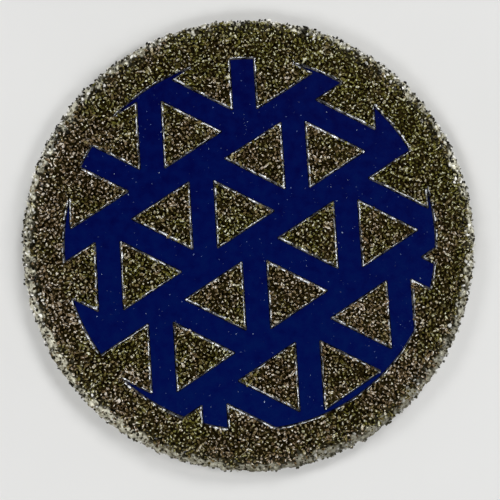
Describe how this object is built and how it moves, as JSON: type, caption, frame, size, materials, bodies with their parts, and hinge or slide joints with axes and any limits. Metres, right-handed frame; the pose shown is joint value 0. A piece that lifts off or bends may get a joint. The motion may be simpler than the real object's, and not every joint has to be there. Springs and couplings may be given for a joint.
{
  "type": "electroplated diamond disc",
  "caption": "Round grinding disc with triangular diamond-grit islands and a plated grit rim that wraps its rounded edge, blue lacquer between them, bare steel back.",
  "frame": {"origin": "centre of the flat back face", "axes": "+Z from the back out through the grinding face; +Y is the top of the face as pictured"},
  "size_m": [0.05, 0.05, 0.003],
  "materials": {
    "bare_steel": "ground bare steel",
    "diamond_grit": "rough nickel bond packed with olive-brown diamond grit",
    "blue_lacquer": "gloss navy lacquer"
  },
  "bodies": {
    "root": {"steel_backing": "bare_steel", "diamond_rim": "diamond_grit", "blue_lacquer": "blue_lacquer", "diamond_triangle_01": "diamond_grit", "diamond_triangle_02": "diamond_grit", "diamond_triangle_03": "diamond_grit", "diamond_triangle_04": "diamond_grit", "diamond_triangle_05": "diamond_grit", "diamond_triangle_06": "diamond_grit", "diamond_triangle_07": "diamond_grit", "diamond_triangle_08": "diamond_grit", "diamond_triangle_09": "diamond_grit", "diamond_triangle_10": "diamond_grit", "diamond_triangle_11": "diamond_grit", "diamond_triangle_12": "diamond_grit", "diamond_triangle_13": "diamond_grit", "diamond_triangle_14": "diamond_grit"}
  },
  "joints": []
}
